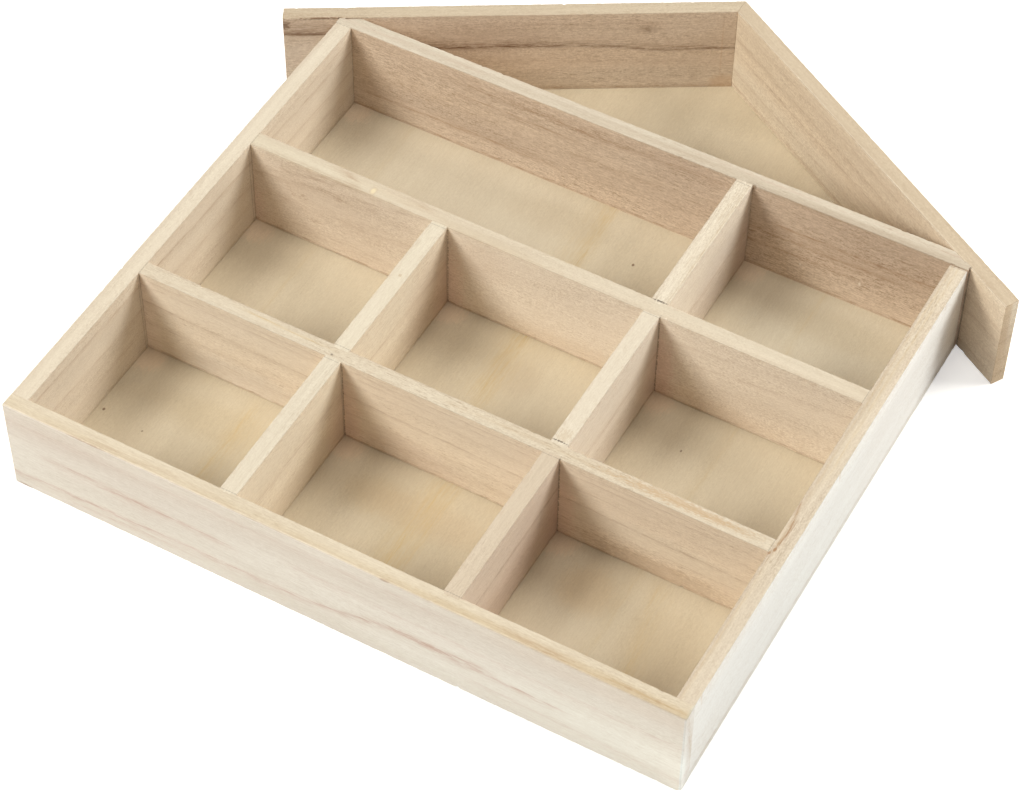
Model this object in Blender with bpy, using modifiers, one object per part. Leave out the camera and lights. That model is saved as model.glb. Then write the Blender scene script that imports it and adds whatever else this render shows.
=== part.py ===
"""
House-shaped compartment box: an open tray of thin, light wooden boards, lying on its back.

A base board, two side walls and a tie beam across the walls' top ends make the house's body.
Two roof boards meet in a mitre at the ridge, rest on the bevelled ends of the tie beam and run
past the walls as eaves. Two shelves and five dividers are glued between them on butt joints.
A thin plywood panel closes the back: it is one pentagon, set inside the outer boards, so the
boards that stand on it are narrower by its thickness, and the tie beam has a rebate for it.

X runs across the house, Y from the base board up to the ridge, Z from the back to the open
rim. Every board hangs on an empty at the middle of the base board's outer face, and heights
are measured from there. The empty is set so that the origin is at the middle of the outline.
"""

import math

import bmesh
import bpy
from mathutils import Vector

# Sizes of the whole, in metres
BODY_WIDTH = 0.2700
FRAME_DEPTH = 0.0434
ROOF_SLOPE = math.radians(30.9)
EAVE_OVERHANG = 0.0225

# Clear height of a row of compartments, and clear widths of the left and middle columns.
# The right column takes the width that is left.
BOTTOM_ROW_HEIGHT = 0.0684
MIDDLE_ROW_HEIGHT = 0.0684
TOP_ROW_HEIGHT = 0.0684
LEFT_COLUMN_WIDTH = 0.0798
MIDDLE_COLUMN_WIDTH = 0.0820

# Board thicknesses
BASE_THICKNESS = 0.0064
WALL_THICKNESS = 0.0069
SHELF_THICKNESS = 0.0069
DIVIDER_THICKNESS = 0.0068
BEAM_THICKNESS = 0.0076
ROOF_THICKNESS = 0.0057
PANEL_THICKNESS = 0.0025

# Joints: the square part of the tie beam's ends, under the bevel that carries the roof,
# the glue line between two boards, and the sanded edges
BEAM_END_SQUARE = 0.0028
GLUE_LINE = 0.0003
ARRIS = 0.0004
ARRIS_SEGMENTS = 2
ARRIS_ANGLE = math.radians(40)

# How far a saw cut runs past the wood
CUT_MARGIN = 0.0100

# Heights above the base board's outer face
LOWER_SHELF_Y = BASE_THICKNESS + BOTTOM_ROW_HEIGHT
UPPER_SHELF_Y = LOWER_SHELF_Y + SHELF_THICKNESS + MIDDLE_ROW_HEIGHT
BEAM_Y = UPPER_SHELF_Y + SHELF_THICKNESS + TOP_ROW_HEIGHT
EAVES_Y = BEAM_Y + BEAM_END_SQUARE

# Distances across, from the middle of the house
BODY_HALF = BODY_WIDTH / 2
INSIDE_HALF = BODY_HALF - WALL_THICKNESS
LEFT_DIVIDER_X = LEFT_COLUMN_WIDTH - INSIDE_HALF
RIGHT_DIVIDER_X = LEFT_DIVIDER_X + DIVIDER_THICKNESS + MIDDLE_COLUMN_WIDTH

# The roof's inner faces pass the walls' outer faces at EAVES_Y and meet at the ridge.
RIDGE_INNER_Y = EAVES_Y + BODY_HALF * math.tan(ROOF_SLOPE)
RIDGE_OUTER_Y = RIDGE_INNER_Y + ROOF_THICKNESS / math.cos(ROOF_SLOPE)
ROOF_LENGTH = BODY_HALF / math.cos(ROOF_SLOPE) + EAVE_OVERHANG
MITRE_RUN = ROOF_THICKNESS * math.tan(ROOF_SLOPE)

# Boards inside the frame stand on the back panel.
INNER_BACK_Z = PANEL_THICKNESS + GLUE_LINE

SIDES = {"left": -1, "right": 1}

# Colours of the wood, as linear red, green and blue
CREAM_WOOD = (0.74, 0.62, 0.45)
WARM_WOOD = (0.64, 0.50, 0.34)
BROWN_WOOD = (0.52, 0.39, 0.26)
PLYWOOD = (0.63, 0.49, 0.31)
WOOD_ROUGHNESS = 0.65


def clear_scene():
    for thing in list(bpy.data.objects):
        bpy.data.objects.remove(thing, do_unlink=True)


def new_collection(name, in_render):
    collection = bpy.data.collections.new(name)
    collection.hide_render = not in_render
    bpy.context.scene.collection.children.link(collection)
    return collection


def finish(name, colour):
    """A matt, unvarnished wood finish for one board."""
    material = bpy.data.materials.new(name)
    material.use_nodes = True
    shader = material.node_tree.nodes["Principled BSDF"]
    shader.inputs["Base Color"].default_value = (*colour, 1.0)
    shader.inputs["Roughness"].default_value = WOOD_ROUGHNESS
    shader.inputs["Metallic"].default_value = 0.0
    material.diffuse_color = (*colour, 1.0)
    return material


def block(name, low, high, collection):
    """A rectangular block between two corners, with its origin at its middle."""
    low, high = Vector(low), Vector(high)
    mesh = bpy.data.meshes.new(name)
    shape = bmesh.new()
    bmesh.ops.create_cube(shape, size=1.0)
    bmesh.ops.scale(shape, vec=high - low, verts=shape.verts)
    shape.to_mesh(mesh)
    shape.free()
    thing = bpy.data.objects.new(name, mesh)
    thing.location = (low + high) / 2
    collection.objects.link(thing)
    return thing


def board(name, low, high, colour, parent):
    """A planed board with its arrises eased, before any saw cut."""
    thing = block(name, low, high, BOX)
    thing.parent = parent
    thing.data.materials.append(finish(name + "_wood", colour))
    arris = thing.modifiers.new("eased_arrises", "BEVEL")
    arris.width = ARRIS
    arris.segments = ARRIS_SEGMENTS
    arris.limit_method = "ANGLE"
    arris.angle_limit = ARRIS_ANGLE
    return thing


def cutter(name, low, high, parent):
    """The wood that one saw cut takes away."""
    thing = block(name, low, high, CUTTERS)
    thing.parent = parent
    thing.hide_render = True
    thing.display_type = "WIRE"
    return thing


def saw(thing, tool):
    cut = thing.modifiers.new(tool.name, "BOOLEAN")
    cut.operation = "DIFFERENCE"
    cut.solver = "EXACT"
    cut.object = tool


def empty(name, parent=None, location=(0, 0, 0), turn=0.0):
    thing = bpy.data.objects.new(name, None)
    thing.empty_display_size = WALL_THICKNESS
    thing.location = location
    thing.rotation_euler.z = turn
    thing.parent = parent
    BOX.objects.link(thing)
    return thing


def make_base(house):
    """The base board runs the full width and covers the side walls' lower ends."""
    board(
        "base_board",
        (-BODY_HALF, 0, 0),
        (BODY_HALF, BASE_THICKNESS, FRAME_DEPTH),
        CREAM_WOOD,
        house,
    )


def make_walls(house):
    """The side walls stand between the base board and the tie beam."""
    for side, sign in SIDES.items():
        faces = sorted((sign * INSIDE_HALF, sign * BODY_HALF))
        board(
            f"{side}_wall",
            (faces[0], BASE_THICKNESS + GLUE_LINE, 0),
            (faces[1], BEAM_Y - GLUE_LINE, FRAME_DEPTH),
            CREAM_WOOD,
            house,
        )


def make_shelves(house):
    """The two shelves run from wall to wall, on the back panel."""
    for name, bottom in (("lower_shelf", LOWER_SHELF_Y), ("upper_shelf", UPPER_SHELF_Y)):
        board(
            name,
            (GLUE_LINE - INSIDE_HALF, bottom, INNER_BACK_Z),
            (INSIDE_HALF - GLUE_LINE, bottom + SHELF_THICKNESS, FRAME_DEPTH),
            WARM_WOOD,
            house,
        )


def make_dividers(house):
    """The dividers are butt-jointed between the boards above and below them."""
    rows = {
        "bottom_row": (BASE_THICKNESS, LOWER_SHELF_Y),
        "middle_row": (LOWER_SHELF_Y + SHELF_THICKNESS, UPPER_SHELF_Y),
        "top_row": (UPPER_SHELF_Y + SHELF_THICKNESS, BEAM_Y),
    }
    columns = {"left": LEFT_DIVIDER_X, "right": RIGHT_DIVIDER_X}
    for row, (floor, ceiling) in rows.items():
        for side, face in columns.items():
            # The top row has one wide compartment on the left, so no left divider.
            if (row, side) == ("top_row", "left"):
                continue
            board(
                f"{row}_{side}_divider",
                (face, floor + GLUE_LINE, INNER_BACK_Z),
                (face + DIVIDER_THICKNESS, ceiling - GLUE_LINE, FRAME_DEPTH),
                WARM_WOOD,
                house,
            )


def make_roof(house):
    """Each roof board is square at the eave and mitred at the ridge, on the middle plane."""
    for side, sign in SIDES.items():
        slope = empty(f"{side}_slope", house, (0, RIDGE_INNER_Y, 0), -sign * ROOF_SLOPE)
        ends = sorted((-sign * (MITRE_RUN + CUT_MARGIN), sign * ROOF_LENGTH))
        roof = board(
            f"{side}_roof_board",
            (ends[0], 0, 0),
            (ends[1], ROOF_THICKNESS, FRAME_DEPTH),
            WARM_WOOD,
            slope,
        )
        reach = sorted((sign * GLUE_LINE / 2, -sign * ROOF_LENGTH))
        mitre = cutter(
            f"{side}_mitre_cut",
            (reach[0], EAVES_Y, -CUT_MARGIN),
            (reach[1], RIDGE_OUTER_Y + 2 * CUT_MARGIN, FRAME_DEPTH + CUT_MARGIN),
            house,
        )
        saw(roof, mitre)


def make_roof_line_cuts(house):
    """What lies above the roof boards' inner faces: the slopes of the tie beam and the panel."""
    cuts = []
    for side, sign in SIDES.items():
        slope = empty(f"{side}_roof_line", house, (0, RIDGE_INNER_Y, 0), -sign * ROOF_SLOPE)
        ends = sorted((-sign * CUT_MARGIN, sign * (ROOF_LENGTH + CUT_MARGIN)))
        cuts.append(
            cutter(
                f"{side}_roof_line_cut",
                (ends[0], -GLUE_LINE, -CUT_MARGIN),
                (ends[1], BODY_HALF, FRAME_DEPTH + CUT_MARGIN),
                slope,
            )
        )
    return cuts


def make_tie_beam(house, roof_line_cuts):
    """
    The tie beam lies on both walls. Its ends are bevelled to the roof's slope, and its back
    is rebated between the walls, so that the panel passes behind it.
    """
    beam = board(
        "tie_beam",
        (-BODY_HALF, BEAM_Y, 0),
        (BODY_HALF, BEAM_Y + BEAM_THICKNESS, FRAME_DEPTH),
        BROWN_WOOD,
        house,
    )
    for cut in roof_line_cuts:
        saw(beam, cut)
    rebate = cutter(
        "tie_beam_rebate",
        (-INSIDE_HALF, BEAM_Y - CUT_MARGIN, -CUT_MARGIN),
        (INSIDE_HALF, BEAM_Y + BEAM_THICKNESS + CUT_MARGIN, INNER_BACK_Z),
        house,
    )
    saw(beam, rebate)


def make_back_panel(house, roof_line_cuts):
    """The plywood back fills the frame from the base board to the ridge."""
    panel = block(
        "back_panel",
        (GLUE_LINE - INSIDE_HALF, BASE_THICKNESS + GLUE_LINE, 0),
        (INSIDE_HALF - GLUE_LINE, RIDGE_INNER_Y, PANEL_THICKNESS),
        BOX,
    )
    panel.parent = house
    panel.data.materials.append(finish("back_panel_plywood", PLYWOOD))
    for cut in roof_line_cuts:
        saw(panel, cut)


clear_scene()
BOX = new_collection("house_compartment_box", in_render=True)
CUTTERS = new_collection("saw_cuts", in_render=False)
HOUSE = empty("house_base", location=(0, -RIDGE_OUTER_Y / 2, 0))
make_base(HOUSE)
make_walls(HOUSE)
make_shelves(HOUSE)
make_dividers(HOUSE)
make_roof(HOUSE)
ROOF_LINE_CUTS = make_roof_line_cuts(HOUSE)
make_tie_beam(HOUSE, ROOF_LINE_CUTS)
make_back_panel(HOUSE, ROOF_LINE_CUTS)
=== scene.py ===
import math

import bmesh
import bpy
from mathutils import Matrix, Vector, noise


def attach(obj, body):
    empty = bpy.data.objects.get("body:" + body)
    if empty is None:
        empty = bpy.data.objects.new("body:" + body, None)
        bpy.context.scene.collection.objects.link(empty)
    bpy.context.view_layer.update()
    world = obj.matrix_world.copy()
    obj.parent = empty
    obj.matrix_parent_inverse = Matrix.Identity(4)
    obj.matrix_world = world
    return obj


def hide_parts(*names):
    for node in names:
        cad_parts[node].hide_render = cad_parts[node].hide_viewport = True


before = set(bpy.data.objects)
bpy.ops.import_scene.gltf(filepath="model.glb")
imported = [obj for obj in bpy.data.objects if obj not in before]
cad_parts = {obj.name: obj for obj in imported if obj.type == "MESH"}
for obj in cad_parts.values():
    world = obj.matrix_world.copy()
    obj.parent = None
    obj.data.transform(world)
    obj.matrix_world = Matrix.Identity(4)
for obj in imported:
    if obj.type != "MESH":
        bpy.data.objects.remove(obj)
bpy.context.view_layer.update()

# Camera
# It stands off the right end of the base board and looks down at the tray through a long lens,
# so the rims, the front faces and the faces to the right all show.
PICTURE_WIDTH = 1020
FOCAL_PIXELS = 3010.35
SENSOR_WIDTH = 36.0
CAMERA_PLACE = (0.34737, -0.66546, 0.85608)
CAMERA_RIGHT = Vector((0.872793, 0.488048, 0.006483))
CAMERA_AHEAD = Vector((-0.309874, 0.564323, -0.765191))

camera_lens = bpy.data.cameras.new("camera")
camera_lens.sensor_width = SENSOR_WIDTH
camera_lens.lens = SENSOR_WIDTH * FOCAL_PIXELS / PICTURE_WIDTH
camera = bpy.data.objects.new("camera", camera_lens)
camera_up = CAMERA_RIGHT.cross(CAMERA_AHEAD)
camera_turn = Matrix((CAMERA_RIGHT, camera_up, -CAMERA_AHEAD)).transposed()
camera.matrix_world = Matrix.Translation(CAMERA_PLACE) @ camera_turn.to_4x4()
bpy.context.scene.collection.objects.link(camera)
bpy.context.scene.camera = camera

# Base board
# A planed board of light, soft wood as wide as the body. It closes the house at the bottom and
# is glued across the lower ends of both side walls.
# Board sizes are in millimetres: along the grain, across the thickness, and up from the table.
MM = 0.001
RIM = 43.4
BODY_HALF = 135.0
BASE_Y = -157.819
BASE_THICKNESS = 6.4
LONG_ARRIS = 0.28
END_ARRIS = 0.1
SHARP_TURN = math.radians(14)
MOSTLY = 0.8  # the share of an edge's length that lies along the axis it is said to run along
ONE_POINT = 0.01  # corners that are closer than this are one corner
PART_STEPS = ((2, 7.0), (1, 2.4), (0, 1.0))  # how finely faces are parted, upright, across and along
UNEVEN = 0.10  # how far the planed faces are out of true
CHIP_START = 0.44  # how strong the noise has to be before an arris is chipped


def plank(length, thickness, back=0.0, start=0.0):
    """A sawn board with square edges. A negative thickness puts it on the other side of its start."""
    wood = bmesh.new()
    bmesh.ops.create_cube(wood, size=1.0)
    bmesh.ops.scale(wood, vec=(length, abs(thickness), RIM - back), verts=wood.verts)
    middle = (start + length / 2, thickness / 2, (RIM + back) / 2)
    bmesh.ops.translate(wood, vec=middle, verts=wood.verts)
    return wood


def runs(edge, axis):
    """Whether an edge runs along an axis: 0 with the grain, 1 across the thickness, 2 upright."""
    return abs((edge.verts[1].co - edge.verts[0].co)[axis]) > MOSTLY * edge.calc_length()


def ease(wood):
    """Sands the long arrises round, and only takes the sharpness off the sawn ends."""
    for with_grain, size, segments in ((True, LONG_ARRIS, 2), (False, END_ARRIS, 1)):
        sharp = [edge for edge in wood.edges if edge.calc_face_angle(0) > SHARP_TURN]
        edges = [edge for edge in sharp if runs(edge, 0) == with_grain]
        bmesh.ops.bevel(
            wood, geom=edges, offset=size, offset_type="OFFSET", segments=segments, profile=0.5,
            affect="EDGES", material=-1,
        )
        bmesh.ops.remove_doubles(wood, verts=wood.verts, dist=ONE_POINT)


def part_up(wood, axis, step):
    """
    Parts the edges that run along an axis until none is near twice the step, so that the faces can
    be uneven. The longest edges go first, because a board with notches has short ones too.
    """
    while True:
        edges = [edge for edge in wood.edges if runs(edge, axis) and edge.calc_length() > 1.8 * step]
        if not edges:
            break
        longest = max(edge.calc_length() for edge in edges)
        edges = [edge for edge in edges if edge.calc_length() > longest / 2]
        bmesh.ops.subdivide_edges(wood, edges=edges, cuts=round(longest / step) - 1, use_grid_fill=True)


def wear(wood, seed):
    """
    Leaves the planed faces slightly uneven, and the arrises fuzzy with a few chips. The attribute
    arris marks the worn edges for the finish.
    """
    arris = wood.verts.layers.float.new("arris")
    low = Vector(min(vert.co[axis] for vert in wood.verts) for axis in range(3))
    high = Vector(max(vert.co[axis] for vert in wood.verts) for axis in range(3))
    middle = (low + high) / 2
    for vert in wood.verts:
        along, across, up = vert.co
        from_face = min(across - low.y, high.y - across)
        from_rim = min(up - low.z, high.z - up)
        corner = 7 * (across > middle.y) + 13 * (up > middle.z) + seed
        uneven = noise.noise((along / 60, up / 22, seed)) * UNEVEN
        wavy = noise.noise((along / 45, across / 9, seed + 5)) * UNEVEN
        shift = Vector((0, uneven, wavy if up > middle.z else 0))
        if max(from_face, from_rim) < LONG_ARRIS + 0.1:
            vert[arris] = 1.0
            fuzz = 0.03 + 0.10 * noise.noise((along / 1.7, corner, 3))
            fuzz += 0.07 * noise.noise((along / 8, corner, 8))
            chip = noise.noise((along / 3.2, corner, 21)) - CHIP_START
            bite = max(fuzz, 0) + max(chip, 0) * 1.2
            shift += Vector((0, bite if across < middle.y else -bite, bite if up < middle.z else -bite))
        vert.co += shift


def planed(wood, seed):
    """Eases a board's edges and leaves its faces and arrises a little uneven."""
    ease(wood)
    for axis, step in PART_STEPS:
        part_up(wood, axis, step)
    wear(wood, seed)


def fit(name, wood, start, angle, material):
    """Puts a board in its place in the house, where it stands for its solid."""
    place = Matrix.Translation((start[0] * MM, start[1] * MM, 0)) @ Matrix.Rotation(angle, 4, "Z")
    bmesh.ops.transform(wood, matrix=place @ Matrix.Scale(MM, 4), verts=wood.verts)
    for face in wood.faces:
        face.smooth = True
    for edge in wood.edges:
        edge.smooth = edge.calc_face_angle(0) < SHARP_TURN
    mesh = bpy.data.meshes.new(name + "_wood")
    wood.to_mesh(mesh)
    wood.free()
    mesh.materials.append(material)
    piece = bpy.data.objects.new(name + "_wood", mesh)
    bpy.context.scene.collection.objects.link(piece)
    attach(piece, "root")
    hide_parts(name)


def wire(tree, made, wires):
    """Sets a node's sockets to values, or links them to the sockets that feed them."""
    for socket, source in wires.items():
        if isinstance(source, bpy.types.NodeSocket):
            tree.links.new(source, made.inputs[socket])
        else:
            made.inputs[socket].default_value = source
    return made


def node(tree, kind, wires=None, **options):
    """Adds a shader node with its wires and its options."""
    made = tree.nodes.new("ShaderNode" + kind)
    for option, value in options.items():
        setattr(made, option, value)
    return wire(tree, made, wires or {})


def reckon(operation, *values, kind="Math"):
    """One sum, in the node tree that its first socket belongs to."""
    tree = next(value.id_data for value in values if isinstance(value, bpy.types.NodeSocket))
    return node(tree, kind, dict(enumerate(values)), operation=operation).outputs[0]


def vector_sum(operation, *values):
    """The same for vectors."""
    return reckon(operation, *values, kind="VectorMath")


def blend(factor, first, second, mode="MIX"):
    """Goes from the first colour to the second one as the factor rises."""
    wires = {0: factor, 6: first, 7: second}
    return node(factor.id_data, "Mix", wires, data_type="RGBA", blend_type=mode).outputs[2]


def step_up(value, low, high):
    """0 below low, 1 above high, and smooth between them."""
    wires = {"Value": value, "From Min": low, "From Max": high}
    return node(value.id_data, "MapRange", wires, interpolation_type="SMOOTHSTEP").outputs[0]


def stretched_noise(vector, stretch, detail=2.0, rough=0.5):
    """Noise drawn out along the grain. stretch is in waves per millimetre, along, across and up."""
    scaled = vector_sum("MULTIPLY", vector, stretch)
    wires = {"Vector": scaled, "Scale": 1.0, "Detail": detail, "Roughness": rough}
    return node(vector.id_data, "TexNoise", wires).outputs[0]


def new_group(name, inputs, outputs):
    """
    A node group. Each input has a name and its usual value: a number, a vector or a colour.
    Returns the group and the sockets that bring its inputs.
    """
    group = bpy.data.node_groups.new(name, "ShaderNodeTree")
    for label, value in inputs.items():
        kind = {float: "Float", Vector: "Vector", tuple: "Color"}[type(value)]
        socket = group.interface.new_socket(label, in_out="INPUT", socket_type="NodeSocket" + kind)
        socket.default_value = value
    for label, kind in outputs.items():
        group.interface.new_socket(label, in_out="OUTPUT", socket_type="NodeSocket" + kind)
    return group, group.nodes.new("NodeGroupInput").outputs


def close_group(group, results):
    """Links a node group's results to its outputs."""
    wire(group, group.nodes.new("NodeGroupOutput"), results)


def use_group(tree, group, wires):
    """Places a node group in a material and returns its outputs."""
    made = tree.nodes.new("ShaderNodeGroup")
    made.node_tree = group
    return wire(tree, made, wires).outputs


# The grain of the wood: growth rings, broad bands, streaks along the fibres, short dark dashes and
# the woolly surface that the saw leaves. The top edge is rougher sawn, so its grain is stronger.
grain, given = new_group(
    "sawn grain",
    {
        "Vector": Vector(), "Seed": 0.0,
        "Pale": (0.8, 0.7, 0.5, 1), "Brown": (0.5, 0.4, 0.3, 1), "Base": 0.35,
        "Rise": 0.12, "Run": 0.2, "Warp": 1.5, "Rings": 0.12,
        "Bands": 0.35, "Streaks": 0.5, "Dashes": 0.3, "Wool": 0.3, "Rim": 0.8,
    },
    {"Color": "Color", "Height": "Float", "Roughness": "Float"},
)
seed_shift = vector_sum("MULTIPLY", given["Seed"], (371.0, 53.0, 29.0))
seeded = vector_sum("ADD", given["Vector"], seed_shift)
parts = node(grain, "SeparateXYZ", {0: given["Vector"]}).outputs
sway = reckon("SUBTRACT", stretched_noise(seeded, (0.012, 0.05, 0.05)), 0.5)
swayed = vector_sum("ADD", seeded, vector_sum("MULTIPLY", sway, (0.0, 5.0, 8.0)))
ring = reckon("MULTIPLY_ADD", parts[2], given["Rise"], given["Seed"])
ring = reckon("MULTIPLY_ADD", parts[1], given["Run"], ring)
ring = reckon("MULTIPLY_ADD", sway, given["Warp"], ring)
tooth = reckon("FRACT", ring)
late = reckon("POWER", tooth, 4.0)
late = reckon("MULTIPLY", late, reckon("SUBTRACT", 1.0, step_up(tooth, 0.9, 1.0)))
ring_number = {"W": reckon("FLOOR", ring)}
chance = node(grain, "TexWhiteNoise", ring_number, noise_dimensions="1D").outputs[0]
late = reckon("MULTIPLY", late, chance)
bands = stretched_noise(swayed, (0.006, 0.11, 0.11), detail=3.0)
fibres = stretched_noise(swayed, (0.045, 1.0, 1.0), detail=4.0, rough=0.6)
strands = stretched_noise(swayed, (0.33, 2.2, 2.2), detail=3.0, rough=0.65)
dashes = step_up(stretched_noise(swayed, (0.28, 2.6, 2.6)), 0.57, 0.70)
patches = step_up(stretched_noise(seeded, (0.02, 0.12, 0.12)), 0.4, 0.6)
dashes = reckon("MULTIPLY", dashes, patches)
wool = stretched_noise(seeded, (1.2, 1.8, 1.8), detail=3.0, rough=0.7)
rim_bands = stretched_noise(swayed, (0.02, 0.5, 0.1))
on_rim = step_up(parts[2], RIM - 0.4, RIM - 0.2)
rim_gain = reckon("MULTIPLY_ADD", on_rim, given["Rim"], 1.0)
fine = reckon("MULTIPLY_ADD", strands, 2.0, reckon("MULTIPLY_ADD", fibres, 0.8, -1.4))
fine = reckon("MULTIPLY", fine, given["Streaks"])
fine = reckon("MULTIPLY_ADD", dashes, given["Dashes"], fine)
woolly = reckon("MULTIPLY", given["Wool"], reckon("MULTIPLY_ADD", patches, 0.5, 0.75))
fine = reckon("MULTIPLY_ADD", reckon("SUBTRACT", wool, 0.5), woolly, fine)
amount = reckon("MULTIPLY_ADD", reckon("SUBTRACT", bands, 0.5), given["Bands"], given["Base"])
amount = reckon("MULTIPLY_ADD", late, given["Rings"], amount)
amount = reckon("MULTIPLY_ADD", fine, rim_gain, amount)
banded = reckon("MULTIPLY", reckon("SUBTRACT", rim_bands, 0.5), given["Rim"])
amount = reckon("MULTIPLY_ADD", banded, on_rim, amount)
height = reckon("MULTIPLY_ADD", dashes, -0.6, reckon("ADD", strands, wool))
close_group(grain, {
    "Color": blend(amount, given["Pale"], given["Brown"]),
    "Height": height,
    "Roughness": reckon("MULTIPLY_ADD", fibres, 0.2, 0.52),
})

# One dark growth line: its height at the board's start, its rise and its slope across the thickness,
# how far it wanders, a jog in its course, its width (less than nothing turns its soft side up), the
# first and last place along the board where it shows, and how ragged it is.
growth_line, given = new_group(
    "growth line",
    {
        "Vector": Vector(), "Seed": 0.0,
        "Height": 20.0, "Rise": 0.0, "Lean": 0.3, "Wander": 1.0, "Jog": 0.0, "Jog at": 100.0,
        "Width": 0.6, "First": -20.0, "Last": 400.0, "Ragged": 0.8,
    },
    {"Mask": "Float"},
)
parts = node(growth_line, "SeparateXYZ", {0: given["Vector"]}).outputs
lane = reckon("MULTIPLY", given["Seed"], 91.0)
along = node(growth_line, "CombineXYZ", {0: parts[0], 1: lane}).outputs[0]
slow = reckon("SUBTRACT", stretched_noise(along, (0.022, 1, 1)), 0.5)
quick = reckon("SUBTRACT", stretched_noise(along, (0.2, 1, 1), detail=3.0), 0.5)
wisps = stretched_noise(given["Vector"], (0.16, 1.9, 1.9), detail=3.0, rough=0.65)
jog_ends = [reckon("ADD", given["Jog at"], reach) for reach in (-20.0, 20.0)]
course = reckon("MULTIPLY_ADD", parts[0], given["Rise"], given["Height"])
course = reckon("MULTIPLY_ADD", parts[1], given["Lean"], course)
for waves, reach in ((slow, 4.0), (quick, 0.5)):
    wander = reckon("MULTIPLY", given["Wander"], reach)
    course = reckon("MULTIPLY_ADD", waves, wander, course)
jogged = step_up(parts[0], *jog_ends)
course = reckon("MULTIPLY_ADD", jogged, given["Jog"], course)
frayed = reckon("SUBTRACT", wisps, 0.5)
course = reckon("MULTIPLY_ADD", frayed, given["Ragged"], course)
off = reckon("DIVIDE", reckon("SUBTRACT", parts[2], course), given["Width"])
soft_side = reckon("MULTIPLY", reckon("MINIMUM", off, 0.0), 0.7)
hard_side = reckon("MULTIPLY", reckon("MAXIMUM", off, 0.0), -2.0)
mask = reckon("EXPONENT", reckon("ADD", soft_side, hard_side))
starts = step_up(parts[0], given["First"], reckon("ADD", given["First"], 14.0))
stops = step_up(parts[0], reckon("SUBTRACT", given["Last"], 14.0), given["Last"])
window = reckon("MULTIPLY", starts, reckon("SUBTRACT", 1.0, stops))
patchy = stretched_noise(given["Vector"], (0.05, 0.7, 0.7), detail=3.0)
patchy = reckon("MULTIPLY_ADD", step_up(patchy, 0.3, 0.6), 0.6, 0.4)
threads = reckon("MULTIPLY_ADD", step_up(wisps, 0.38, 0.60), 0.75, 0.25)
mask = reckon("MULTIPLY", mask, reckon("MULTIPLY", patchy, threads))
close_group(growth_line, {"Mask": reckon("MULTIPLY", mask, window)})

# A small spot, fleck or knot with a frayed edge. A large size in two directions makes it a sheet.
spot, given = new_group(
    "spot",
    {"Vector": Vector(), "Centre": Vector(), "Size": Vector((1, 1, 1)), "Fray": 0.6},
    {"Mask": "Float"},
)
offset = vector_sum("SUBTRACT", given["Vector"], given["Centre"])
offset = vector_sum("DIVIDE", offset, given["Size"])
distance = node(spot, "VectorMath", {0: offset}, operation="LENGTH").outputs[1]
frayed = reckon("SUBTRACT", stretched_noise(given["Vector"], (0.6, 1.8, 1.8), detail=3.0), 0.5)
distance = reckon("MULTIPLY_ADD", frayed, given["Fray"], distance)
close_group(spot, {"Mask": reckon("SUBTRACT", 1.0, step_up(distance, 0.4, 1.05))})


USUAL_FRAY = 0.5
END_GRAIN = (0.86, 0.79, 0.70)
TORN_BROWN = (0.50, 0.34, 0.20)
GRAIN_DEPTH = 0.00008
DRY_WOOD_SHINE = 0.25


def spot_shape(mark):
    """Takes a spot's strength and colour apart from its shape."""
    strength, tint, centre, size, fray = (*mark, USUAL_FRAY)[:5]
    return strength, tint, {"Centre": centre, "Size": size, "Fray": fray}


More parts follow.
